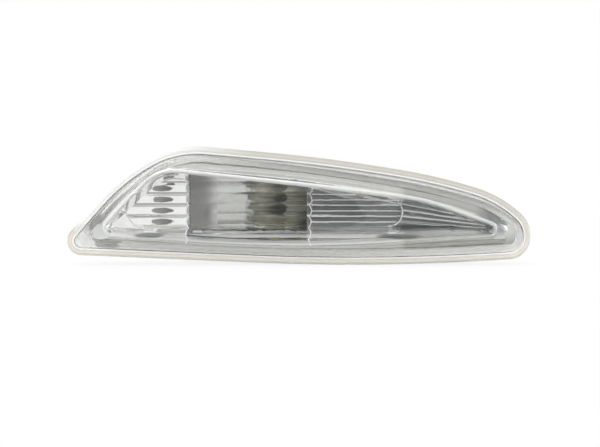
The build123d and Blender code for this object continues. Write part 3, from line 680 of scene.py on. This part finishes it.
def housing_moulding(shades):
    """The housing's grained moulding. Its flange behind the lens is paler: plated along the upper slope, and
    painted darker where the lens's wall bends round the broad end, a painted shadow of that wall."""
    material, tree = new_finish("housing_moulding")
    point = millimetres(tree)
    x, y, z = axes(point)
    grain = mould_grain(point, shades.grain_size)
    front = ramp(y, *FLANGE_Y)
    # Painted shadow of the lens's wall on the flange at the broad end
    bend = ramp(oval(point, *BEND_OVAL), *BEND_EDGE) * ramp(z, *BEND_Z)
    plated = front * upper_slope(x, z) * (1.0 - bend)
    flange = blend(bend, shades.flange_colour, shades.flange_painted_shadow)
    surface(
        tree,
        {
            "Base Color": blend(front, mottled(point, shades.housing_colour), flange),
            "Metallic": plated,
            "Roughness": 0.55 + grain * 0.2 - plated * 0.5,
            "Normal": relief(grain * (1.0 - plated), depth=0.03),
        },
    )
    return material


def rolled_strip(name, low, high, along):
    """Rolled or drawn metal with fine lines along it and dull patches."""
    material, tree = new_finish(name)
    lines = clouds(millimetres(tree, along), size=0.15, detail=2.0)
    dull = clouds(millimetres(tree), size=2.5)
    surface(
        tree,
        {
            "Base Color": blend(dull, low, high),
            "Metallic": 1.0,
            "Roughness": 0.22 + lines * 0.22,
            "Normal": relief(lines, depth=0.006),
        },
    )
    return material


def silvered_glass(tint):
    """Glass with a thin silver coat over its tint."""
    material, tree = new_finish("silvered_glass")
    ripple = clouds(millimetres(tree), size=3.0, detail=1.0)
    surface(
        tree,
        {
            "Base Color": blend(ripple, darker(tint), tint),
            "Metallic": 0.85,
            "Roughness": 0.12 + ripple * 0.08,
            "Coat Weight": 0.5,
            "Normal": relief(ripple, depth=0.03),
        },
    )
    return material


def ring_round(place, ahead, radius):
    """Corners of a ring round a point, square to a direction."""
    across = ahead.cross(Vector((0.0, 1.0, 0.0))).normalized()
    up = across.cross(ahead)
    turns = [2.0 * pi * k / TUBE_SIDES for k in range(TUBE_SIDES)]
    return [place + (across * cos(turn) + up * sin(turn)) * radius for turn in turns]


def fine_tubes(name, lines, radius, closed=False):
    """One mesh of fine tubes along lines of points, each closed into a ring or capped at both ends."""
    corners, faces = [], []
    for line in lines:
        first = len(corners)
        count = len(line)
        for i, place in enumerate(line):
            after = line[(i + 1) % count] if closed else line[min(i + 1, count - 1)]
            before = line[i - 1] if closed else line[max(i - 1, 0)]
            corners += ring_round(place, (after - before).normalized(), radius)
        for i in range(count if closed else count - 1):
            for k in range(TUBE_SIDES):
                low, high = i * TUBE_SIDES, (i + 1) % count * TUBE_SIDES
                side = (k + 1) % TUBE_SIDES
                faces.append(tuple(first + n for n in (low + k, low + side, high + side, high + k)))
        if not closed:
            faces.append(tuple(range(first, first + TUBE_SIDES)))
            faces.append(tuple(range(len(corners) - TUBE_SIDES, len(corners))))
    mesh = bpy.data.meshes.new(name)
    mesh.from_pydata(corners, [], faces)
    mesh.shade_smooth()
    made = bpy.data.objects.new(name, mesh)
    bpy.context.scene.collection.objects.link(made)
    return made


def scallops(x, slant, wave, top):
    """Front-view points down a slanting edge that waves once for each rib."""
    points = []
    z = top
    while z > EDGE_BOTTOM:
        share = ((RIB_TOP - z) / RIB_PITCH) % 1.0
        points.append((x + slant * (z - EDGE_BOTTOM) + wave * arch(share), z))
        z -= EDGE_STEP
    return points


def half_ring(ring, side):
    """Front-view points round half a circle, from its top to its bottom, by its left with a side of 1."""
    x, z, radius = ring
    turns = [pi / 2 + side * pi * i / RING_STEPS for i in range(RING_STEPS + 1)]
    return [(x + radius * cos(turn), z + radius * sin(turn)) for turn in turns]


def bank_line(level):
    """Front-view points along a rib of the right bank, from the scoop's mouth to the narrow end."""
    z = RIB_TOP - level * RIB_PITCH / 2
    x = MOUTH_EDGE_X + MOUTH_SLANT * (z - EDGE_BOTTOM) + EDGE_WAVE
    steps = int((NARROW_END[0] + NARROW_END[2] - x) / LINE_STEP)
    return [(x + i * LINE_STEP, z) for i in range(steps)]


def fan_line(level):
    """Front-view points along a rib of the fan, from its tip back to the trough's end."""
    points = []
    low, high = (z + level * pitch for _, z, pitch in (FAN_START, FAN_END))
    x = FAN_TIP_X
    while x > FAN_START[0]:
        share = (x - FAN_START[0]) / (FAN_END[0] - FAN_START[0])
        points.append((x, low + (high - low) * share))
        x -= LINE_STEP
    return points


def inner_rim(mesh):
    """Points round the inner border of the seal's flat front face, moved out by the bead's radius."""
    front = min(vertex.co.y for vertex in mesh.vertices)
    uses = {}
    for face in mesh.polygons:
        if all(abs(mesh.vertices[i].co.y - front) < FLAT_WITHIN for i in face.vertices):
            for key in face.edge_keys:
                uses[key] = uses.get(key, 0) + 1
    following = {}
    for a, b in (key for key, count in uses.items() if count == 1):
        following.setdefault(a, []).append(b)
        following.setdefault(b, []).append(a)
    start = min(following, key=lambda i: mesh.vertices[i].co.xz.length)
    loop = [start, following[start][0]]
    while loop[-1] != start:
        loop.append(next(i for i in following[loop[-1]] if i != loop[-2]))
    points = [mesh.vertices[i].co.copy() for i in loop[:-1]]
    moved = []
    for i, point in enumerate(points):
        along = (points[(i + 1) % len(points)] - points[i - 1]).normalized()
        outwards = along.cross(Vector((0.0, 1.0, 0.0)))
        moved.append(point + outwards * (BEAD_RADIUS if outwards.dot(point) > 0 else -BEAD_RADIUS))
    return moved


def finish_nodes(material, *names):
    """Gives CAD nodes one material."""
    for name in names:
        mesh = NODES[name].data
        mesh.materials.clear()
        mesh.materials.append(material)


class LAMP_OT_lens(bpy.types.Operator):
    """Finish the clear lens"""

    bl_idname = "lamp.lens"
    bl_label = "Lens"

    def execute(self, context):
        finish_nodes(clear_moulding(context.scene.lamp_finishes.lens_tint), "lens")
        NODES["lens"].visible_shadow = False
        return {"FINISHED"}


class LAMP_OT_seal(bpy.types.Operator):
    """Finish the soft seal and add the fine bead along its inner edge"""

    bl_idname = "lamp.seal"
    bl_label = "Seal"

    def execute(self, context):
        shades = context.scene.lamp_finishes
        finish_nodes(milky_rubber(shades), "seal")
        bead = fine_tubes("seal_bead", [inner_rim(NODES["seal"].data)], BEAD_RADIUS, closed=True)
        bead.data.materials.append(pale_bead(shades.seal_bead))
        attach(bead, "lamp")
        return {"FINISHED"}


class LAMP_OT_reflector(bpy.types.Operator):
    """Finish the bright reflector and lay near-white wires on its ribs and its trough's edges: painted
    highlights
    """

    bl_idname = "lamp.reflector"
    bl_label = "Reflector"

    def execute(self, context):
        shades = context.scene.lamp_finishes
        finish_nodes(bright_plating(shades), "reflector")
        # Near-white wires along the plating's edges and ribs: painted highlights
        bright = highlight_wire(shades.highlight_colour)
        scoop = scallops(SCOOP_EDGE_X, 0.0, -EDGE_WAVE, SCOOP_EDGE_TOP)
        mouth = scallops(MOUTH_EDGE_X, MOUTH_SLANT, EDGE_WAVE, MOUTH_EDGE_TOP)
        self.lay("scoop_edge", [self.found(scoop)], EDGE_RADIUS, bright)
        self.lay("mouth_edge", [self.found(mouth)], EDGE_RADIUS, bright)
        self.lay("broad_end_edge", [self.found(half_ring(BROAD_END, 1.0))], EDGE_RADIUS, bright)
        self.lay("narrow_end_edge", [self.found(half_ring(NARROW_END, -1.0))], EDGE_RADIUS, bright)
        self.lay("bank_lines", [self.stretch(bank_line(i)) for i in BANK_LINES], LINE_RADIUS, bright)
        self.lay("fan_lines", [self.stretch(fan_line(i)) for i in FAN_LINES], LINE_RADIUS, bright)
        return {"FINISHED"}

    def found(self, path):
        """Where front-view points meet the reflector."""
        hits = (NODES["reflector"].ray_cast((x, RAY_START, z), (0.0, 1.0, 0.0)) for x, z in path)
        return [place for met, place, normal, index in hits if met]

    def stretch(self, path):
        """The first unbroken stretch of a path behind the reflector's rim."""
        line = []
        for place in self.found(path):
            if line and abs(place.y - line[-1].y) > LINE_JUMP:
                break
            if place.y > RIM_FRONT:
                line.append(place)
        return line

    def lay(self, name, lines, radius, material):
        """Fine near-white wires laid on the reflector as painted highlights."""
        wires = fine_tubes(name, [line for line in lines if len(line) > 1], radius)
        wires.data.materials.append(material)
        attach(wires, "lamp")


class LAMP_OT_housing(bpy.types.Operator):
    """Finish the rear housing and its retaining spring"""

    bl_idname = "lamp.housing"
    bl_label = "Housing and spring"

    def execute(self, context):
        shades = context.scene.lamp_finishes
        steel = shades.steel_colour
        finish_nodes(housing_moulding(shades), "housing")
        spring = rolled_strip("spring_steel", darker(steel, 0.8), steel, ROLLED_LINES)
        finish_nodes(spring, "retaining_spring")
        return {"FINISHED"}


class LAMP_OT_holder(bpy.types.Operator):
    """Finish the bulb holder, its gasket and its terminals"""

    bl_idname = "lamp.holder"
    bl_label = "Bulb holder"

    def execute(self, context):
        shades = context.scene.lamp_finishes
        shell = moulded_plastic("dark_moulding", shades.holder_colour, shades.grain_size, gloss=0.2)
        rubber = moulded_plastic("gasket_rubber", shades.rubber_colour, shades.grain_size, gloss=0.0)
        finish_nodes(shell, "bulb_holder")
        finish_nodes(rubber, "holder_gasket")
        brass = rolled_strip("brass_strip", shades.brass_dull, shades.brass_colour, ROLLED_LINES)
        finish_nodes(brass, "contact_live", "contact_earth")
        return {"FINISHED"}


class LAMP_OT_bulb(bpy.types.Operator):
    """Finish the bulb's glass, its filament and its leads"""

    bl_idname = "lamp.bulb"
    bl_label = "Bulb"

    def execute(self, context):
        shades = context.scene.lamp_finishes
        wire = shades.wire_colour
        finish_nodes(silvered_glass(shades.bulb_tint), "bulb_glass")
        drawn = rolled_strip("drawn_wire", darker(wire, 0.7), wire, DRAWN_LINES)
        finish_nodes(drawn, "filament", "lead_wire_live", "lead_wire_earth")
        return {"FINISHED"}


def seen_white(tree):
    """1 for what the camera, a mirror or glass sees, 0 for the light that falls on a surface."""
    path = Wire.node(tree, "ShaderNodeLightPath")
    seen = path.output("Is Camera Ray") + path.output("Is Glossy Ray") + path.output("Is Transmission Ray")
    return seen > 0.5


def staged_panel(name, corners, faces):
    """A panel of the studio."""
    mesh = bpy.data.meshes.new(name)
    mesh.from_pydata(corners, [], faces)
    panel = bpy.data.objects.new(name, mesh)
    bpy.context.scene.collection.objects.link(panel)
    return panel


def round_panel(name, away, left, right, half_height):
    """An upright oval panel in front of the lamp."""
    middle, half_width = (left + right) / 2, (right - left) / 2
    turns = [2.0 * pi * i / CARD_STEPS for i in range(CARD_STEPS)]
    corners = [(middle + half_width * cos(turn), -away, half_height * sin(turn)) for turn in turns]
    return staged_panel(name, corners, [tuple(range(CARD_STEPS))])


def arched_panel(name, radius, start, side, left):
    """A round panel along the lamp's length, above it with a side of 1 and below it with a side of -1."""
    corners = []
    for i in range(CANOPY_STEPS + 1):
        lift = start + (CANOPY_END - start) * i / CANOPY_STEPS
        y, z = -radius * cos(lift), side * radius * sin(lift)
        corners += [(-left, y, z), (CANOPY_RIGHT, y, z)]
    faces = [(i, i + 1, i + 3, i + 2) for i in range(0, 2 * CANOPY_STEPS, 2)]
    return staged_panel(name, corners, faces)


def mirrored_only(panel, material):
    """Shows a panel to mirrors and glass alone."""
    panel.data.materials.append(material)
    panel.visible_camera = False
    panel.visible_shadow = False
    panel.visible_diffuse = False


def glowing(shade):
    """A surface that shows its own colour whatever the light, and only in a mirror."""
    mirrored = Wire.node(shade.tree, "ShaderNodeLightPath").output("Glossy Depth") > 0.5
    surface(
        shade.tree,
        {
            "Base Color": BLACK,
            "Roughness": 1.0,
            "Specular IOR Level": 0.0,
            "Emission Color": shade,
            "Emission Strength": 1.0,
            "Alpha": mirrored,
        },
    )


def card_cloth(name, away, left, right, studio):
    """Cloth that grows paler from left to right, with pale level folds."""
    material, tree = new_finish(name)
    across = axes(millimetres(tree))[0]
    share = ramp(across, left * PER_METRE, right * PER_METRE)
    folds = clouds(millimetres(tree, along=0.05), size=away * CARD_FOLD * PER_METRE, detail=1.0)
    crest = ramp(folds, *CARD_CREST)
    glowing(blend(share * 0.45 + crest * 0.6, studio.card_dark, studio.card_pale))
    return material


def canopy_cloth(name, side, studio):
    """Cloth with long soft folds along the lamp; below, it is darker towards the front."""
    material, tree = new_finish(name)
    point = millimetres(tree, along=0.04)
    share = ramp(clouds(point, CANOPY_FOLD, detail=2.0), *CANOPY_CREST)
    if side < 0:
        share = share * (0.2 + ramp(axes(point)[1], *CANOPY_SHADE_Y) * 0.8)
    glowing(blend(share, studio.canopy_low, studio.canopy_high))
    return material


def area_lamp(name, place, size, power):
    """A large soft lamp aimed at the lamp's origin."""
    data = bpy.data.lights.new(name, "AREA")
    data.shape = "RECTANGLE"
    data.size, data.size_y = size
    data.energy = power
    lamp = bpy.data.objects.new(name, data)
    lamp.location = place
    lamp.rotation_euler = (-Vector(place)).to_track_quat("-Z", "Y").to_euler()
    bpy.context.scene.collection.objects.link(lamp)


class LAMP_OT_stage(bpy.types.Operator):
    """Set up the floor, the cards that the plating mirrors, the lights, the white surround and the camera"""

    bl_idname = "lamp.stage"
    bl_label = "Studio"

    def execute(self, context):
        scene = context.scene
        studio = scene.lamp_studio
        scene.view_settings.view_transform = "Standard"
        scene.cycles.max_bounces = LENS_BOUNCES
        scene.cycles.glossy_bounces = LENS_BOUNCES
        scene.cycles.transmission_bounces = LENS_BOUNCES
        self.surround(scene, studio)
        self.floor(studio)
        self.cards(studio)
        self.lamps(studio)
        self.camera(scene, studio)
        return {"FINISHED"}

    def surround(self, scene, studio):
        """White all round, plain white where it is seen."""
        world = bpy.data.worlds.new("white_surround")
        world.use_nodes = True
        scene.world = world
        tree = world.node_tree
        tree.nodes.clear()
        strength = studio.fill + seen_white(tree) * (1.0 - studio.fill)
        light = Wire.node(tree, "ShaderNodeBackground", {}, {"Color": WHITE, "Strength": strength})
        Wire.node(tree, "ShaderNodeOutputWorld", {}, {"Surface": light})

    def floor(self, studio):
        """A plain floor under the lamp that keeps its shadow."""
        low = CAD_BOX[0].z - FLOOR_GAP
        sides = ((-1, -1), (1, -1), (1, 1), (-1, 1))
        corners = [(FLOOR_REACH * x, FLOOR_REACH * y, low) for x, y in sides]
        panel = staged_panel("floor", corners, [(0, 1, 2, 3)])
        material, tree = new_finish("studio_floor")
        matt = Wire.node(tree, "ShaderNodeBsdfDiffuse", {}, {"Color": rgba(studio.floor_colour)})
        white = Wire.node(tree, "ShaderNodeEmission", {}, {"Color": WHITE, "Strength": 1.0})
        spread = ramp(size_of(millimetres(tree)), *FLOOR_FADE, low=studio.floor_glow)
        share = seen_white(tree) * spread
        mixed = Wire.node(tree, "ShaderNodeMixShader", {}, {0: share, 1: matt, 2: white})
        Wire.node(tree, "ShaderNodeOutputMaterial", {}, {"Surface": mixed})
        panel.data.materials.append(material)
        panel.visible_glossy = False
        panel.visible_transmission = False

    def cards(self, studio):
        """Dark cards on the camera's side and grey canopies above and below, which only mirrors show."""
        for name, away in (("far_card", studio.far_card), ("near_card", studio.near_card)):
            left = LEFT_BANK_X + away * tan(studio.card_left)
            right = LEFT_BANK_X + away * tan(studio.card_right)
            card = round_panel(name, away, left, right, away * tan(studio.card_height))
            mirrored_only(card, card_cloth(name, away, left, right, studio))
        for name, side in (("canopy_above", 1.0), ("canopy_below", -1.0)):
            canopy = arched_panel(name, studio.canopy_radius, studio.canopy_start, side, studio.canopy_left)
            mirrored_only(canopy, canopy_cloth(name, side, studio))

    def lamps(self, studio):
        """One large soft lamp above and a weaker one at the side."""
        area_lamp("key_lamp", KEY_PLACE, KEY_SIZE, studio.key_power)
        area_lamp("side_lamp", SIDE_PLACE, SIDE_SIZE, studio.key_power / KEY_TO_SIDE)

    def camera(self, scene, studio):
        """A long lens straight in front of the lamp and a little above it."""
        low, high = CAD_BOX
        metres_per_pixel = (high.x - low.x) / LAMP_PIXELS
        across = (PICTURE_WIDTH / 2 - ORIGIN_PIXEL[0]) * metres_per_pixel
        down = (PICTURE_HEIGHT / 2 - ORIGIN_PIXEL[1]) * metres_per_pixel
        data = bpy.data.cameras.new("camera")
        data.sensor_width = SENSOR_WIDTH
        data.lens = SENSOR_WIDTH * studio.camera_distance / (PICTURE_WIDTH * metres_per_pixel)
        rise = studio.camera_elevation
        target = Vector((across, 0.0, -down))
        back = Vector((0.0, -cos(rise), sin(rise)))
        camera = bpy.data.objects.new("camera", data)
        camera.location = target + back * studio.camera_distance
        camera.rotation_euler = (-back).to_track_quat("-Z", "Y").to_euler()
        scene.collection.objects.link(camera)
        scene.camera = camera


class LAMP_PT_panel(bpy.types.Panel):
    """The lamp's pieces and its studio"""

    bl_idname = "LAMP_PT_panel"
    bl_label = "Side Repeater Lamp"
    bl_space_type = "VIEW_3D"
    bl_region_type = "UI"
    bl_category = "Repeater Lamp"

    def draw(self, context):
        for piece in PIECES:
            self.layout.operator(piece.bl_idname)


PIECES = (
    LAMP_OT_lens,
    LAMP_OT_seal,
    LAMP_OT_reflector,
    LAMP_OT_housing,
    LAMP_OT_holder,
    LAMP_OT_bulb,
    LAMP_OT_stage,
)
CLASSES = (LampFinishes, LampStudio, *PIECES, LAMP_PT_panel)


def register():
    for cls in CLASSES:
        bpy.utils.register_class(cls)
    bpy.types.Scene.lamp_finishes = PointerProperty(type=LampFinishes)
    bpy.types.Scene.lamp_studio = PointerProperty(type=LampStudio)


def unregister():
    del bpy.types.Scene.lamp_studio
    del bpy.types.Scene.lamp_finishes
    for cls in reversed(CLASSES):
        bpy.utils.unregister_class(cls)


def main():
    register()
    bpy.ops.lamp.lens()
    bpy.ops.lamp.seal()
    bpy.ops.lamp.reflector()
    bpy.ops.lamp.housing()
    bpy.ops.lamp.holder()
    bpy.ops.lamp.bulb()
    bpy.ops.lamp.stage()


if __name__ == "__main__":
    main()
